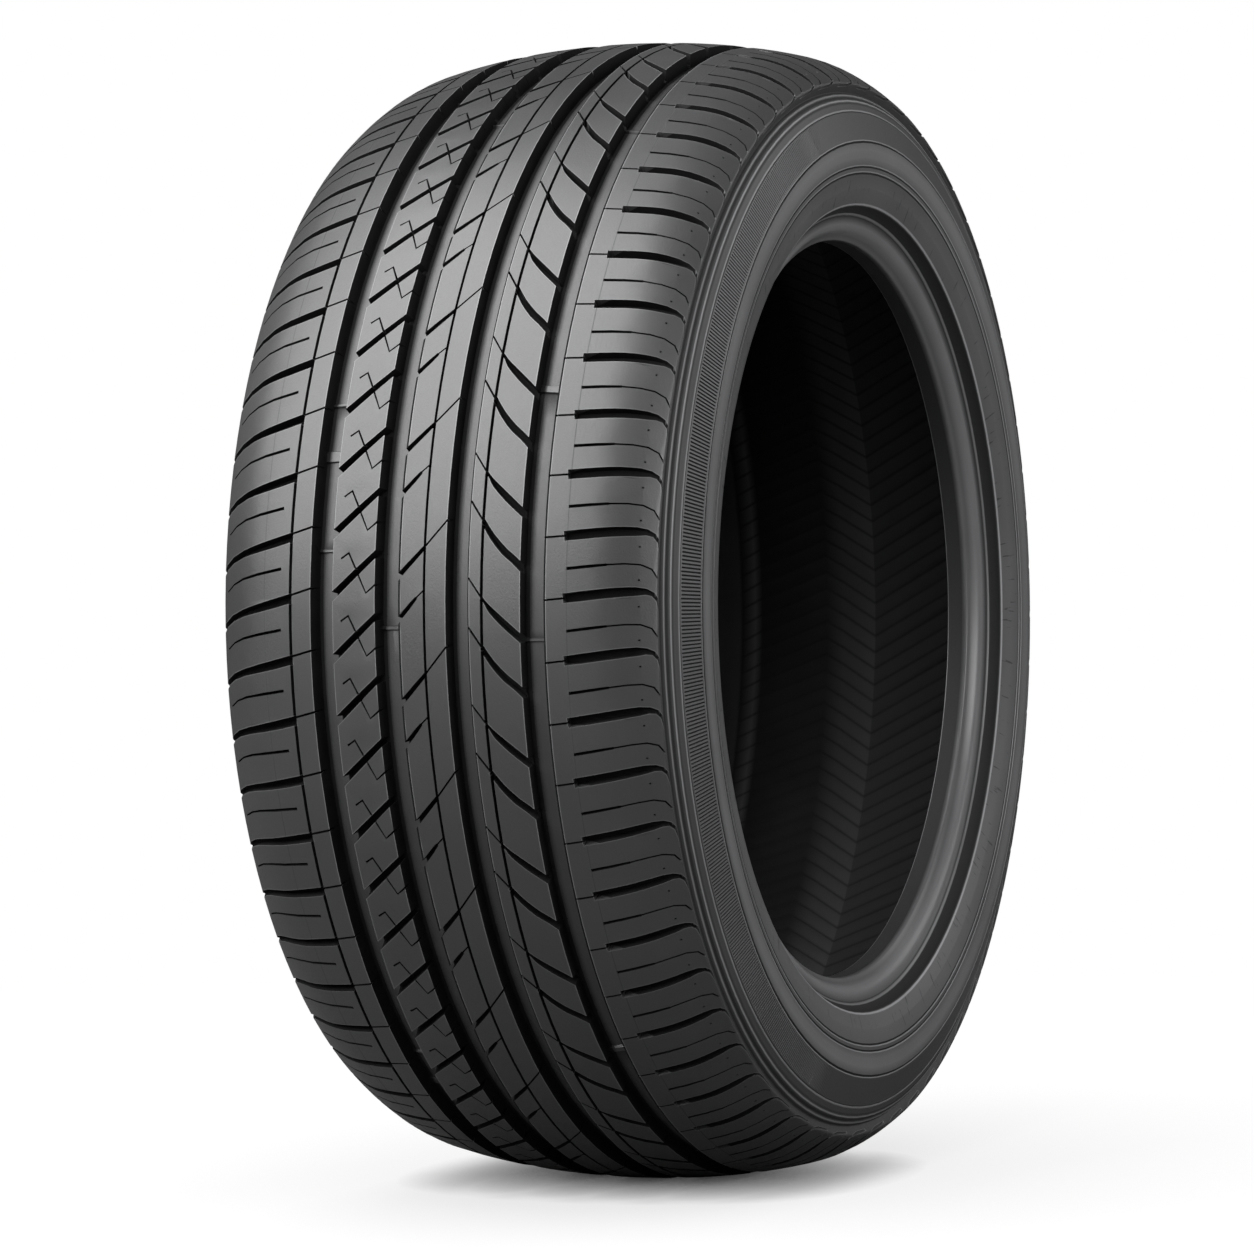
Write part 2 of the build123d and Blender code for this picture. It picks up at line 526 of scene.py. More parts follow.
class WearBar:
    """A low bar across the floor of a main groove, found again every few sectors round the tread."""

    height = 1.3
    slope = 0.7
    # painted shade at the bar's feet and a painted highlight on its top
    end_painted_shade = 0.4
    top_painted_highlight = 1.5
    sector_gap = 5

    def __init__(self, groove, turn, length):
        self.groove = groove
        sector, rest = divmod(turn - first_pitch, sector_pitches * pitch_turn)
        start = rest / pitch_turn * pitch_length
        self.stops = start + np.array([0, self.slope, length - self.slope, length])
        steps = range(0, sector_count - self.sector_gap, self.sector_gap)
        self.sectors = {(int(sector) + step) % sector_count for step in steps}

    def lines(self):
        reach = self.groove.half - self.groove.wall
        for stop in self.stops:
            yield np.array([(self.groove.middle - reach, stop), (self.groove.middle + reach, stop)]), False

    def shape(self, points):
        """How far the bar stands up at points, and what it makes of their tone."""
        on_floor = self.groove.on_floor(points)
        heights = (0, self.height, self.height, 0)
        tones = (self.end_painted_shade, self.top_painted_highlight, self.top_painted_highlight, self.end_painted_shade)
        lift = np.interp(points[:, 1], self.stops, heights, left=0, right=0)
        tone = np.interp(points[:, 1], self.stops, tones, left=1, right=1)
        return lift * on_floor, np.where(on_floor, tone, 1)


def wear_bars(grooves):
    """Wear bars: which main groove they lie in, their turn round the axle and their length."""
    bars = ((0, 15.0, 7.0), (0, 20.6, 2.5), (0, 6.2, 2.5), (1, -1.2, 2.5), (3, 21.6, 5.0), (3, -2.4, 2.5))
    return [WearBar(grooves[number], turn, length) for number, turn, length in bars]


def sector_cuts(rings):
    """All cuts that touch one sector."""
    margin = 1.0
    cuts = list(rings)
    for cut in dressed_shoulder() + plain_shoulder() + slanted_rib() + middle_rib() + hooked_rib():
        for pitches in range(-cut_reach, cut_reach + 1, cut.every):
            other = cut.moved(pitches)
            reach = other.stops[:, 2].max() / 2 + margin
            if other.stops[:, 1].max() + reach > 0 and other.stops[:, 1].min() - reach < sector_length:
                cuts.append(other)
    return cuts


class Sector:
    """Flat sheet of one sector of the tread. The points of its end belong to the sector after it."""

    def __init__(self, rings, cuts, bars):
        self.points = []
        self.edges = []
        self.draw_lines(cuts, bars)
        found = delaunay_2d_cdt([Vector(point) for point in self.points], self.edges, [], 0, weld)
        flat = np.array([tuple(point) for point in found[0]])
        faces = np.array(found[2])
        centres = flat[faces].mean(1)
        keep = (centres[:, 1] > 0) & (centres[:, 1] < sector_length) & (np.abs(centres[:, 0]) < sheet_half)
        used, renumbered = np.unique(faces[keep], return_inverse=True)
        self.flat = flat[used]
        self.faces = renumbered.reshape(-1, 3)
        self.press(rings, cuts, bars)
        self.at_start = self.border_points(1, 0)
        self.at_end = self.border_points(1, sector_length)
        self.own = np.setdiff1d(np.arange(len(self.flat)), self.at_end)
        self.rank = np.full(len(self.flat), -1)
        self.rank[self.own] = np.arange(len(self.own))

    def draw(self, line, closed=False):
        first = len(self.points)
        self.points.extend(map(tuple, line))
        self.edges.extend((first + i, first + i + 1) for i in range(len(line) - 1))
        if closed:
            self.edges.append((first + len(line) - 1, first))

    def draw_lines(self, cuts, bars):
        """Draws the borders, the lines of all cuts and bars, and loose points between them."""
        for side in (-1, 1):
            for length in (sheet_half, *edge_lengths):
                self.draw(line_round(side * length))
        for end in (0, sector_length):
            self.draw([(-sheet_half, end), (sheet_half, end)])
        for shape in (*cuts, *bars):
            for line, closed in shape.lines():
                self.draw(line, closed)
        crosswise = np.linspace(-sheet_half, sheet_half, grid_lines)
        grid = np.vstack([line_round(length) for length in crosswise[1:-1]])
        clear = np.min([np.abs(cut.measure(grid)[0]) for cut in cuts], axis=0) > grid_clear
        self.points.extend(map(tuple, grid[clear]))

    def press(self, rings, cuts, bars):
        """Works out how deep each point is, its tone of painted shade and highlight, and which triangles lie
        in a cut.
        """
        size = np.abs(self.flat[:, 0])
        depths, tones = np.array([cut.shape(self.flat) for cut in cuts]).transpose(1, 0, 2)
        darkest = tones.min(0)
        tone = np.where(darkest < 1 - near, darkest, tones.max(0))
        floors = np.zeros(len(self.faces), bool)
        for number in range(len(main_grooves)):
            gap = rings[number].measure(self.flat)[0]
            tone = np.where(gap < -groove_inset, tones[number], tone)
            floors |= rings[number].on_floor(self.flat)[self.faces].all(1)
        fade = np.clip((sheet_half - size) / border_fade, 0, 1)
        self.depth = depths.max(0) * fade
        self.tone = (1 + (tone - 1) * fade) * np.interp(size, edge_lengths[[0, 2, 3]], (1, 1, ring_painted_shade))
        for bar in bars:
            lift, share = bar.shape(self.flat)
            self.depth = self.depth - lift
            self.tone = self.tone * share
        corner_tones = self.tone[self.faces]
        middle = corner_tones.mean(1)
        wall = (corner_tones.min(1) < wall_limit) & (corner_tones.max(1) < lit_limit)
        in_cut = np.where(floors, middle < floor_limit, wall | (middle < cut_limit))
        self.kinds = np.where(in_cut, CUT, TREAD)

    def border_points(self, axis, value):
        """Points on one border of the sheet, in order along it."""
        found = np.flatnonzero(np.abs(self.flat[:, axis] - value) < near)
        return found[np.argsort(self.flat[found, 1 - axis])]


def tread_rings(shell):
    """Adds the whole tread to the shell. Returns the rings where the plain and dressed sidewalls join."""
    rings = ring_cuts()
    cuts = sector_cuts(rings)
    bars = wear_bars(rings)
    sheets = {}
    sectors = []
    for number in range(sector_count):
        held = tuple(bar for bar in bars if number in bar.sectors)
        if held not in sheets:
            sheets[held] = Sector(rings, cuts, held)
        sectors.append(sheets[held])
    starts = np.cumsum([0] + [len(sector.own) for sector in sectors])
    borders = ([], [])
    for number, sector in enumerate(sectors):
        after = (number + 1) % sector_count
        joined = sectors[after].at_start
        if len(joined) != len(sector.at_end):
            raise RuntimeError(f"sectors don't meet: {len(sector.at_end)} and {len(joined)} points")
        index = sector.rank + starts[number]
        index[sector.at_end] = sectors[after].rank[joined] + starts[after]
        flat = sector.flat[sector.own]
        turn = first_pitch + (number * sector_pitches + flat[:, 1] / pitch_length) * pitch_turn
        shell.add_points(on_tread(flat[:, 0], turn, sector.depth[sector.own]), sector.tone[sector.own])
        shell.faces.extend(map(tuple, index[sector.faces].tolist()))
        shell.kinds.extend(sector.kinds.tolist())
        for side, border in zip((-1, 1), borders):
            found = sector.rank[sector.border_points(0, side * sheet_half)]
            border.append(found[found >= 0] + starts[number])
    return [np.concatenate(border) for border in borders]


def corners(start, rows):
    """Corners of an outline from rows of place outside a start, height above the bead seat, and the rest."""
    return [(start + place, seat_r + height, *rest) for place, height, *rest in rows]


def side_outline():
    """Sidewall from the ring groove down to the fine ridges, and from there past the toe to the lining."""
    # The third number of each row is a tone: painted highlights along the thin rings, the lip, the roll of
    # the bead and its toe, painted shade in the narrow grooves, the flange hollow and on the bead seat, and
    # painted light on the sidewall's bulge
    below_blocks = corners(edge_place, (
        (-ring_inset, ring_height, 0.3), (-2.2, 86.4, 0.4), (-0.7, 85.7, 1.0),
        (-0.4, 85.4, 3.4), (-0.1, 84.9, 3.4), (0.0, 84.5, 1.0), (0.1, 83.8, 0.25), (0.8, 83.0, 0.25),
        (2.0, 82.3, 1.0), (2.3, 82.0, 4.4), (2.55, 81.5, 4.4), (2.65, 81.0, 0.8), (2.8, 80.3, 0.4),
        (3.4, 79.3, 1.0, 0.5), (4.4, 76.7, 1.0),
        (4.8, 76.1, 4.4), (4.95, 75.6, 4.4), (4.8, 75.2, 0.1), (5.3, 74.7, 1.2),
    ))
    wall = corners(half_width, (
        (-0.5, 58.6, 1.2), (-0.45, 58.4, 5.5), (-0.45, 58.0, 5.5), (-0.9, 57.7, 0.05), (-0.8, 56.9, 0.05),
        (-0.1, 56.6, 1.8), (0.0, 55.9, 2.2), (-0.1, 52.2, 3.2, 3.0), (-0.4, 47.7, 3.0, 2.5),
        (-0.85, 44.0, 2.0), (-0.88, 43.7, 5.5), (-0.95, 43.3, 5.5), (-1.35, 43.0, 0.05), (-1.35, 42.3, 0.05),
        (-1.0, 42.0, 1.5), (-1.1, 40.3, 1.5), (-1.12, 40.0, 5.5), (-1.2, 39.6, 5.5), (-1.65, 39.3, 0.05),
        (-1.75, 38.5, 0.05), (-1.45, 38.2, 1.8), (-3.3, 30.0, 2.2, 8.0),
    ))
    lip = corners(half_width, (
        (-5.9, 21.7, 2.1), (-6.2, 21.1, 7.0), (-6.6, 20.6, 7.0), (-6.9, 20.2, 0.8), (-7.6, 19.6, 0.05),
        (-12.9, 16.3, 0.3, 1.2), (-13.4, 15.8, 3.6), (-13.8, 15.4, 3.6), (-14.4, 14.5, 0.3),
        (-15.2, 12.9, 1.6), (-15.9, 6.9, 3.6, 6.0),
    ))
    bead = corners(half_seat, (
        (2.3, 3.3, 2.0), (0.6, 0.3, 2.4, 1.8), (-2.6, 0.0, 0.35, 0.5),
        (-11.2, 0.0, 0.35), (-11.7, 0.1, 4.0), (-12.0, 0.5, 4.0),
    ))
    inside = corners(half_width, ((-9.0, 58.0, 1.0, 24.0),))
    inside += [(90.0, lining_r, 1.0, 30.0), (lining_half, lining_r, 1.0)]
    return rounded(below_blocks, steps=3), rounded(wall + lip + bead + inside, steps=3)


def spread(line, longest):
    """The same outline with long straights parted, so no step is longer than given."""
    points = [line[0]]
    for a, b in zip(line, line[1:]):
        parts = max(1, math.ceil(np.hypot(*(b - a)[:2]) / longest))
        points.extend(a + (b - a) * (i + 1) / parts for i in range(parts))
    return points


def mirrored(points):
    """The same points of an outline on the plain side, in backward order."""
    return [(-place, radius, tone) for place, radius, tone in reversed(points)]


class Shell:
    """Points and faces of the closed mesh, gathered ring by ring."""

    def __init__(self):
        self.points = []
        self.tones = []
        self.faces = []
        self.kinds = []

    def add_points(self, points, tones):
        first = len(self.points)
        self.points.extend(map(tuple, points))
        self.tones.extend(np.broadcast_to(tones, len(points)))
        return np.arange(first, len(self.points))

    def add_ring(self, place, radius, tone=1.0):
        turn = first_pitch + np.arange(columns) * 360 / columns
        return self.add_points(turned(place, radius, turn), tone)

    def add_face(self, upper, lower, kind):
        self.faces.append((*upper, *lower[::-1]))
        self.kinds.append(kind)

    def join(self, upper, lower, kind):
        """Faces between two rings. The finer ring has a whole number of steps for each of the coarser."""
        count = min(len(upper), len(lower))
        for i in range(count):
            self.add_face(self.stretch(upper, i, count), self.stretch(lower, i, count), kind)

    def join_parts(self, even, parted, starts, kind):
        """Faces between an even ring and one that has more points in some of its steps."""
        ends = [*starts[1:], len(parted)]
        for i, (first, end) in enumerate(zip(starts, ends)):
            lower = [int(parted[j % len(parted)]) for j in range(first, end + 1)]
            self.add_face(self.stretch(even, i, len(even)), lower, kind)

    def lay(self, last, outline, kinds):
        """Rings along an outline, each joined to the one before. Returns the last one."""
        for point, kind in zip(outline, kinds):
            ring = self.add_ring(*point)
            self.join(last, ring, kind)
            last = ring
        return last

    @staticmethod
    def stretch(ring, i, count):
        """Points of one of the equal stretches of a ring, both its ends included."""
        steps = len(ring) // count
        return [int(ring[(i * steps + j) % len(ring)]) for j in range(steps + 1)]


def knurled_band(shell, start, top, bottom):
    """Fine radial ridges between two rings, on the dressed side towards the front. Returns the last ring."""
    ridges = range(knurl_count // columns)
    fine = [((ridge + share) / len(ridges), height) for ridge in ridges for share, height in knurl_shape]
    plain = [(0.0, 1.0)]
    step = 360 / columns
    points = []
    starts = []
    for column in range(columns):
        starts.append(len(points))
        first = first_pitch + column * step
        in_reach = from_front(first + step / 2) < knurl_reach + step
        points.extend((first + step * share, height) for share, height in (fine if in_reach else plain))
    turn, height = np.array(points).T
    fade = np.clip((knurl_reach - from_front(turn)) / knurl_fade, 0, 1)
    sink = (height - 1) * knurl_depth * fade
    tone = 1 + (np.where(height > 0, ridge_painted_highlight, valley_painted_shade) - 1) * fade
    run = (bottom - top)[:2]
    square = np.array([-run[1], run[0]]) / np.hypot(*run)
    rings = []
    for along in knurl_ends:
        place, radius = top[:2] + along * run
        ring = turned(place + sink * square[0], radius + sink * square[1], turn)
        rings.append(shell.add_points(ring, tone))
    end = shell.add_ring(*bottom)
    shell.join_parts(start, rings[0], starts, SIDE)
    shell.join(*rings, SIDE)
    shell.join_parts(end, rings[1], starts, SIDE)
    return end


def ribbed_lining(shell, start):
    """Herringbone lines of the lining, from the dressed side to the plain side. Returns the last ring."""
    shares = (0.0, 0.15, 0.5, 0.85)  # places in one rib, with the line at its start
    share = np.tile(shares, lining_ribs)
    line = np.tile((1.0, 0.0, 0.0, 0.0), lining_ribs)
    turn = first_pitch + (np.repeat(np.arange(lining_ribs), len(shares)) + share) * 360 / lining_ribs
    step = 2 * math.pi * lining_r / columns
    # the row tones are painted light and shade: lighter beside the turn of the herringbone, painted shade
    # towards the plain side, and a painted highlight where the lining bends down to the plain sidewall
    rows = (  # place across, shift round the lining and tone
        (lining_half - lining_edge, -0.5 * step, 0.8),
        (20.4, 21.8, 1.0),
        (19.6, 21.7, 1.8),
        (-2.0, 8.0, 1.1),
        (-14.0, 1.0, 0.22),
        (-60.0, 18.9, 0.08),
        (-65.0, 20.8, 1.8),
        (lining_edge - lining_half, 1.5 * step, 0.1),
    )
    last = start
    for place, shift, tone in rows:
        angle = turn + math.degrees(shift / lining_r)
        points = turned(place, lining_r + line_depth * line, angle)
        ring = shell.add_points(points, tone * (1 - line_shade * line))
        shell.join(last, ring, LINING)
        last = ring
    end = shell.add_ring(-lining_half, lining_r)
    shell.join(last, np.roll(end, -1), LINING)
    return end


def build_shell():
    """The whole tyre as one closed mesh."""
    shell = Shell()
    plain_ring, dressed_ring = tread_rings(shell)
    upper, lower = side_outline()
    dressed = spread(upper, dressed_step)
    plain = spread(upper, plain_step)
    down = spread(lower, lower_step)
    toe = max(i for i, point in enumerate(down) if point[1] < seat_r + toe_rise)
    kinds = [LINING if i > toe else SIDE for i in range(len(down))]
    last = shell.lay(dressed_ring, dressed[1:], [SIDE] * len(dressed))
    last = knurled_band(shell, last, upper[-1], lower[0])
    last = shell.lay(last, down[1:], kinds[1:])
    last = ribbed_lining(shell, last)
    last = shell.lay(last, mirrored(down[:-1]), kinds[:0:-1])
    last = shell.lay(last, mirrored(plain[1:]), [SIDE] * len(plain))
    shell.join(last, plain_ring, SIDE)
    return shell


class NodeSheet:
    """Short way to add and link the shader nodes of a material or a world."""

    def __init__(self, owner):
        self.owner = owner
        owner.use_nodes = True
        self.tree = owner.node_tree
        self.tree.nodes.clear()

    def add(self, kind, inputs=None, **settings):
        node = self.tree.nodes.new(kind)
        for key, value in settings.items():
            setattr(node, key, value)
        for key, value in (inputs or {}).items():
            if isinstance(value, bpy.types.NodeSocket):
                self.tree.links.new(value, node.inputs[key])
            else:
                node.inputs[key].default_value = value
        return node

    def place(self):
        return self.add("ShaderNodeTexCoord").outputs["Object"]

    def parts(self, place):
        return self.add("ShaderNodeSeparateXYZ", {0: place}).outputs

    def noise(self, place, scale, detail=4.0):
        inputs = {"Vector": place, "Scale": scale, "Detail": detail}
        return self.add("ShaderNodeTexNoise", inputs).outputs["Fac"]

    def ramp(self, value, low, high, start=0.3, end=0.7):
        """Goes from low to high while the value goes from start to end."""
        inputs = {"Value": value, "From Min": start, "From Max": end, "To Min": low, "To Max": high}
        return self.add("ShaderNodeMapRange", inputs).outputs["Result"]

    def work_out(self, operation, a, b):
        return self.add("ShaderNodeMath", {0: a, 1: b}, operation=operation).outputs[0]

    def mix(self, share, a, b):
        return self.add("ShaderNodeMixShader", {0: share, 1: a.outputs[0], 2: b.outputs[0]})

    def seen(self):
        return self.add("ShaderNodeLightPath").outputs["Is Camera Ray"]

    def close(self, output, shader):
        self.add(output, {"Surface": shader.outputs[0]})

    def plus(self, a, b):
        return self.work_out("ADD", a, b)

    def times(self, a, b):
        return self.work_out("MULTIPLY", a, b)

    def length(self, place):
        return self.add("ShaderNodeVectorMath", {0: place}, operation="LENGTH").outputs["Value"]

    def open_share(self, reach):
        node = self.add("ShaderNodeAmbientOcclusion", {"Distance": reach}, samples=shadow_samples)
        return node.outputs["AO"]


class Rubber(NodeSheet):
    """Nodes of one kind of rubber, with its clouds and its grain."""

    tint = {"Red": 1.0, "Green": 1.0, "Blue": 1.03}

    def __init__(self, name, cloud_scale, grain_scale, grain_detail):
        super().__init__(bpy.data.materials.new(name))
        place = self.place()
        self.cloud = self.noise(place, cloud_scale)
        self.grain = self.noise(place, grain_scale, grain_detail)

    def tone(self):
        return self.add("ShaderNodeAttribute", attribute_name="tone").outputs["Fac"]

    def around(self):
        """Angle round the axle and distance from it, for marks that follow the tyre."""
        parts = self.parts(self.place())
        angle = self.work_out("ARCTAN2", parts["Z"], parts["X"])
        level = self.add("ShaderNodeCombineXYZ", {"X": parts["X"], "Z": parts["Z"]}).outputs[0]
        return angle, self.length(level)

    def finish(self, light, roughness, strength, distance, specular=0.8):
        parts = {name: self.times(light, share) for name, share in self.tint.items()}
        color = self.add("ShaderNodeCombineColor", parts)
        bump = self.add("ShaderNodeBump", {"Height": self.grain, "Strength": strength, "Distance": distance})
        skin = self.add("ShaderNodeBsdfPrincipled", {
            "Base Color": color.outputs["Color"],
            "Roughness": roughness,
            "Specular IOR Level": specular,
            "Normal": bump.outputs["Normal"],
        })
        self.close("ShaderNodeOutputMaterial", skin)
        return self.owner


def above_seat(heights):
    """Radii in metres from heights above the bead seat."""
    return [(seat_r + height) * MM for height in heights]


def tread_rubber():
    """Rubber of the tread: fine grain on the blocks, its tone painting shade in the cuts and highlights along
    the blocks' edges, and faint mould lines.
    """
    sheet = Rubber("tread rubber", cloud_scale=9.0, grain_scale=900.0, grain_detail=2.0)
    tone = sheet.tone()
    light = sheet.times(sheet.ramp(sheet.cloud, 0.024, 0.030), tone)
    dull = sheet.ramp(tone, 0.45, 0.0, start=0.3, end=1.0)
    depth = sheet.parts(sheet.place())["Y"]
    for line in mould_lines:
        away = sheet.work_out("ABSOLUTE", sheet.plus(depth, line * MM), 0.0)
        light = sheet.times(light, sheet.ramp(away, 0.5, 1.0, start=0.0001, end=0.0004))
        dull = sheet.plus(dull, sheet.ramp(away, 0.2, 0.0, start=0.0001, end=0.0004))
    rough = sheet.plus(sheet.ramp(sheet.cloud, 0.40, 0.46), sheet.ramp(sheet.grain, -0.04, 0.04))
    return sheet.finish(light, sheet.plus(rough, dull), strength=0.25, distance=0.0003)


def shaded_cut_rubber():
    """Rubber down in the cuts of the tread: dark and dull, a copy of the tread rubber with painted shade."""
    sheet = Rubber("cut rubber", cloud_scale=60.0, grain_scale=700.0, grain_detail=2.0)
    light = sheet.ramp(sheet.cloud, 0.004, 0.008)
    rough = sheet.ramp(sheet.cloud, 0.80, 0.92)
    return sheet.finish(light, rough, strength=0.3, distance=0.0003, specular=0.15)


def scuffs(sheet, angle, radius):
    """Short dark scratches on the band above the lip of the dressed side, as a share of the light left."""
    grid = {"X": sheet.times(angle, 90.0), "Y": sheet.times(radius, 55.0)}
    streaks = sheet.noise(sheet.add("ShaderNodeCombineXYZ", grid).outputs[0], scale=1.0, detail=3.0)
    marks = sheet.ramp(streaks, 0.0, 1.0, start=0.635, end=0.675)
    above_lip = sheet.ramp(radius, 0.0, 1.0, *above_seat(scuff_start))
    below_lines = sheet.ramp(radius, 1.0, 0.0, *above_seat(scuff_end))
    dressed = sheet.ramp(sheet.parts(sheet.place())["Y"], 0.7, 0.0, start=-0.01, end=0.01)
    dark = sheet.times(sheet.times(marks, sheet.times(above_lip, below_lines)), dressed)
    return sheet.work_out("SUBTRACT", 1.0, dark)


def side_rubber():
    """Rubber of the sidewalls and beads: smoother, with faint clouds and fine scuffs."""
    sheet = Rubber("sidewall rubber", cloud_scale=14.0, grain_scale=700.0, grain_detail=3.0)
    angle, radius = sheet.around()
    tone = sheet.tone()
    # the tone paints the highlights and shade set along the section and on the fine ridges
    light = sheet.times(sheet.ramp(sheet.cloud, 0.042, 0.050), tone)
    light = sheet.times(light, scuffs(sheet, angle, radius))
    sheen = sheet.ramp(radius, -0.10, 0.0, *above_seat(bead_sheen))
    dull = sheet.plus(sheet.ramp(tone, 0.4, 0.0, start=0.3, end=1.0), sheen)
    rough = sheet.plus(sheet.ramp(sheet.cloud, 0.40, 0.47), sheet.ramp(sheet.grain, -0.02, 0.02))
    return sheet.finish(light, sheet.plus(rough, dull), strength=0.1, distance=0.00004, specular=0.5)


def lining_rubber():
    """Rubber of the lining: dull and darker."""
    sheet = Rubber("lining rubber", cloud_scale=20.0, grain_scale=500.0, grain_detail=3.0)
    # the tone paints light and shade on the lining and darkens its fine lines
    light = sheet.times(sheet.ramp(sheet.cloud, 0.0125, 0.0175), sheet.tone())
    rough = sheet.ramp(sheet.cloud, 0.68, 0.8)
    return sheet.finish(light, rough, strength=0.3, distance=0.0004, specular=0.1)


def white_floor():
    """Floor that the camera sees as white paper with a soft shadow, and that throws little light back."""
    sheet = NodeSheet(bpy.data.materials.new("white floor"))
    far = sheet.ramp(sheet.length(sheet.place()), 0.0, 1.0, *floor_fade)
    lit = sheet.add("ShaderNodeBsdfDiffuse", {"Color": (0.9, 0.9, 0.9, 1)})
    glow = sheet.add("ShaderNodeEmission", {"Strength": 0.45})
    cast = sheet.add("ShaderNodeAddShader", {0: lit.outputs[0], 1: glow.outputs[0]})
    soft_shade = sheet.ramp(sheet.open_share(wide_shadow), 0.78, 1.0, start=0.25, end=0.9)
    foot_shade = sheet.work_out("POWER", sheet.open_share(close_shadow), 0.6)
    soft = sheet.add("ShaderNodeEmission", {"Strength": sheet.times(soft_shade, foot_shade)})
    paper = sheet.add("ShaderNodeEmission", {"Strength": 1.0})
    seen = sheet.mix(far, sheet.mix(0.06, soft, cast), paper)
    dull = sheet.add("ShaderNodeBsdfDiffuse", {"Color": (0.15, 0.15, 0.15, 1)})
    sheet.close("ShaderNodeOutputMaterial", sheet.mix(sheet.seen(), dull, seen))
    return sheet.owner


class TyreSettings(bpy.types.PropertyGroup):
    """What can be set on the tyre."""

    sharp_angle: bpy.props.FloatProperty(
        name="Sharp angle", default=math.radians(28), subtype="ANGLE",
        description="Edges that bend more than this stay crisp")


class StudioSettings(bpy.types.PropertyGroup):
    """What can be set on the camera and the light."""

    distance: bpy.props.FloatProperty(
        name="Camera distance", default=3.0637, unit="LENGTH",
        description="From the wheel's centre to the camera")
    turn: bpy.props.FloatProperty(
        name="Camera turn", default=math.radians(22.85), subtype="ANGLE",
        description="From square to the tread, round towards the dressed side")
    rise: bpy.props.FloatProperty(
        name="Camera rise", default=math.radians(0.47), subtype="ANGLE",
        description="Height of the camera above the wheel's centre, as an angle")
    roll: bpy.props.FloatProperty(
        name="Camera roll", default=math.radians(-0.61), subtype="ANGLE",
        description="Lean of the camera")
    lens: bpy.props.FloatProperty(
        name="Lens", default=145.9,
        description="Focal length in millimetres, for a sensor 36 mm wide")
    front_power: bpy.props.FloatProperty(
        name="Front light", default=140.0,
        description="Power of the soft panel above and in front of the tread, in watts")
    side_power: bpy.props.FloatProperty(
        name="Side light", default=10.0,
        description="Power of the soft panel beside the dressed side, in watts")
    bead_power: bpy.props.FloatProperty(
        name="Bead light", default=18.0,
        description="Power of the small panel that looks into the dressed side, in watts")
    room_light: bpy.props.FloatProperty(
        name="Room light", default=0.10,
        description="Even light from all round")


def add_object(context, name, data):
    """Puts a mesh, a light or a camera into the scene."""
    thing = bpy.data.objects.new(name, data)
    context.scene.collection.objects.link(thing)
    return thing


class OBJECT_OT_build_tyre(bpy.types.Operator):
    """Builds the tyre with its tread, sidewalls, beads and lining"""

    bl_idname = "object.build_tyre"
    bl_label = "Build tyre"

    def execute(self, context):
        settings = context.scene.tyre_settings
        shell = build_shell()
        mesh = bpy.data.meshes.new("tyre rubber")
        mesh.from_pydata(shell.points, [], shell.faces)
        tones = mesh.attributes.new("tone", "FLOAT", "POINT")
        tones.data.foreach_set("value", np.array(shell.tones, np.float32))
        for material in (tread_rubber(), side_rubber(), lining_rubber(), shaded_cut_rubber()):
            mesh.materials.append(material)
        mesh.polygons.foreach_set("material_index", shell.kinds)
        sheet = bmesh.new()
        sheet.from_mesh(mesh)
        bmesh.ops.triangulate(sheet, faces=[face for face in sheet.faces if len(face.verts) > 4])
        bmesh.ops.recalc_face_normals(sheet, faces=sheet.faces)
        sheet.to_mesh(mesh)
        sheet.free()
        mesh.shade_smooth()
        mesh.set_sharp_from_angle(angle=settings.sharp_angle)
        tyre = add_object(context, "tyre_rubber", mesh)
        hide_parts("tyre")
        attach(tyre, "root")
        return {"FINISHED"}


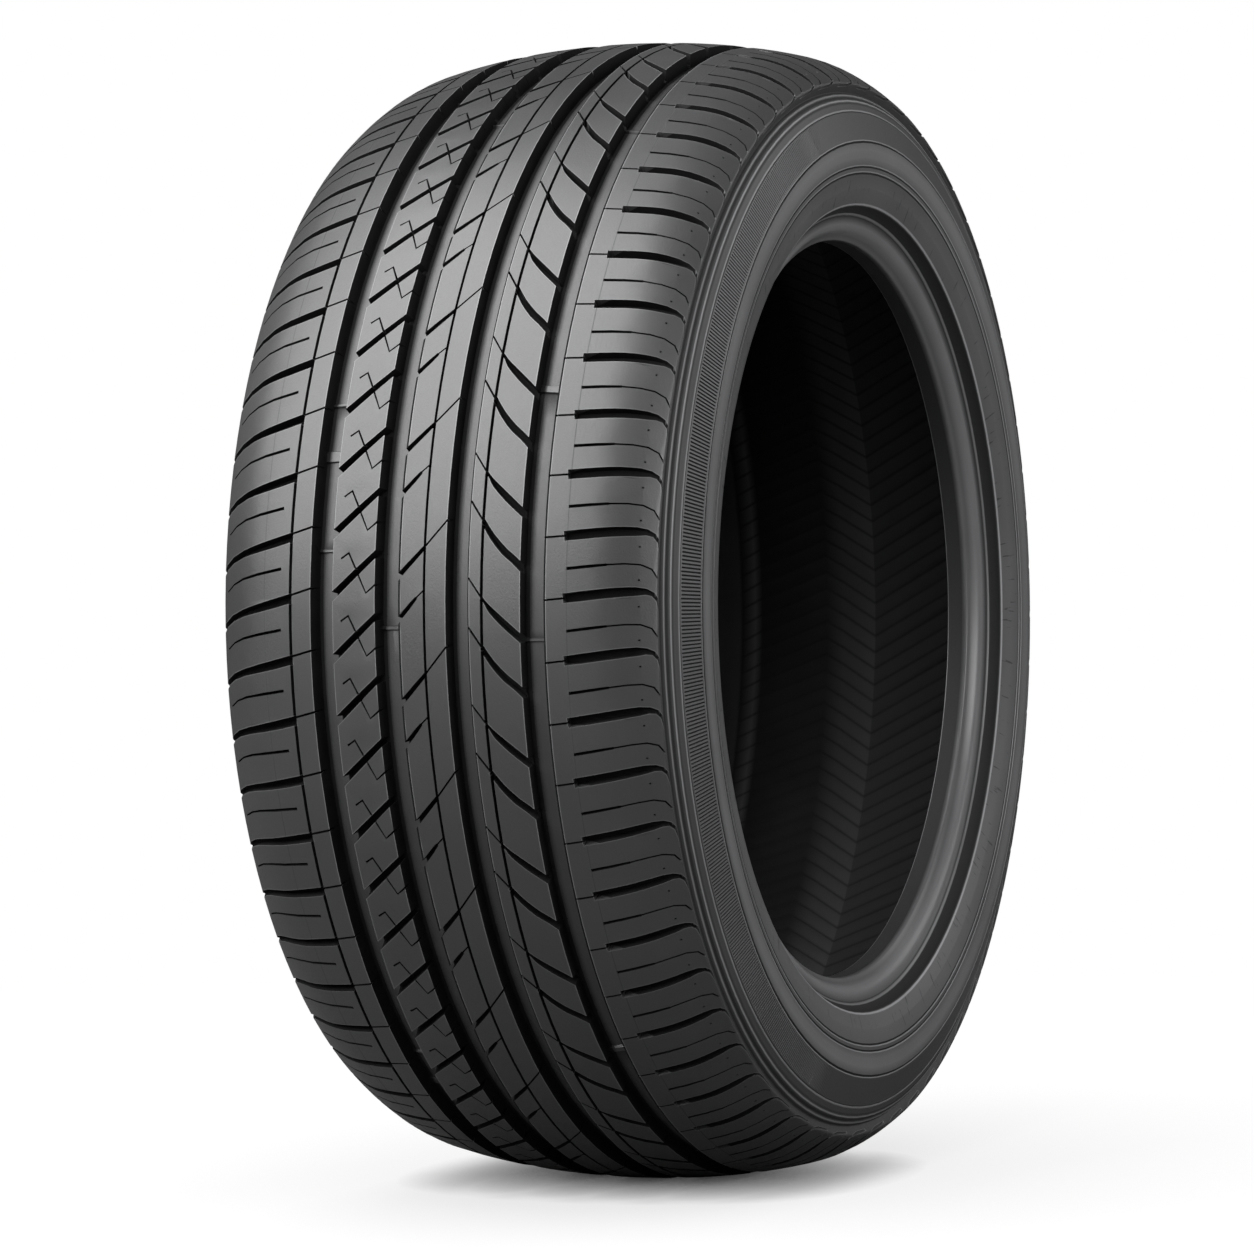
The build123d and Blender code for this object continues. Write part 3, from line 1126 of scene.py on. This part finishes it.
class OBJECT_OT_build_studio(bpy.types.Operator):
    """Sets up the floor, the light and the camera"""

    bl_idname = "object.build_studio"
    bl_label = "Build studio"

    def execute(self, context):
        settings = context.scene.studio_settings
        self.add_floor(context)
        self.add_world(context, settings)
        for name, place, size, power in panels:
            self.add_panel(context, name, place, size, getattr(settings, power))
        self.add_camera(context, settings)
        return {"FINISHED"}

    def add_floor(self, context):
        mesh = bpy.data.meshes.new("floor")
        corners = [(x * floor_reach, y * floor_reach, 0) for x, y in ((-1, -1), (1, -1), (1, 1), (-1, 1))]
        mesh.from_pydata(corners, [], [(0, 1, 2, 3)])
        mesh.materials.append(white_floor())
        floor = add_object(context, "floor", mesh)
        floor.location.z = ground * MM

    def add_world(self, context, settings):
        world = bpy.data.worlds.new("studio")
        sheet = NodeSheet(world)
        soft = sheet.add("ShaderNodeBackground", {"Color": white, "Strength": settings.room_light})
        paper = sheet.add("ShaderNodeBackground", {"Color": white, "Strength": 1.0})
        sheet.close("ShaderNodeOutputWorld", sheet.mix(sheet.seen(), soft, paper))
        context.scene.world = world

    def add_panel(self, context, name, place, size, power):
        light = bpy.data.lights.new(name, "AREA")
        light.shape = "RECTANGLE"
        light.size, light.size_y = size
        light.energy = power
        lamp = add_object(context, name, light)
        lamp.location = place
        lamp.rotation_euler = (-lamp.location).to_track_quat("-Z", "Y").to_euler()

    def add_camera(self, context, settings):
        data = bpy.data.cameras.new("camera")
        data.sensor_width = sensor_width
        data.lens = settings.lens
        data.shift_x, data.shift_y = (shift / photo_width for shift in photo_shift)
        camera = add_object(context, "camera", data)
        level = settings.distance * math.cos(settings.rise)
        camera.location = (-level * math.cos(settings.turn), -level * math.sin(settings.turn),
                           settings.distance * math.sin(settings.rise))
        aim = (-camera.location).to_track_quat("-Z", "Y")
        camera.rotation_mode = "QUATERNION"
        camera.rotation_quaternion = aim @ Quaternion((0, 0, 1), settings.roll)
        context.scene.camera = camera
        context.scene.view_settings.view_transform = "Standard"


class VIEW3D_PT_tyre(bpy.types.Panel):
    """Buttons for the tyre and its studio"""

    bl_label = "Car tyre"
    bl_idname = "VIEW3D_PT_tyre"
    bl_space_type = "VIEW_3D"
    bl_region_type = "UI"
    bl_category = "Tyre"

    def draw(self, context):
        layout = self.layout
        for settings in (context.scene.tyre_settings, context.scene.studio_settings):
            for name in settings.__annotations__:
                layout.prop(settings, name)
        layout.operator(OBJECT_OT_build_tyre.bl_idname)
        layout.operator(OBJECT_OT_build_studio.bl_idname)


classes = (TyreSettings, StudioSettings, OBJECT_OT_build_tyre, OBJECT_OT_build_studio, VIEW3D_PT_tyre)


def register():
    for each in classes:
        bpy.utils.register_class(each)
    bpy.types.Scene.tyre_settings = bpy.props.PointerProperty(type=TyreSettings)
    bpy.types.Scene.studio_settings = bpy.props.PointerProperty(type=StudioSettings)


def unregister():
    del bpy.types.Scene.studio_settings
    del bpy.types.Scene.tyre_settings
    for each in reversed(classes):
        bpy.utils.unregister_class(each)


def main():
    register()
    bpy.ops.object.build_tyre()
    bpy.ops.object.build_studio()


if __name__ == "__main__":
    main()
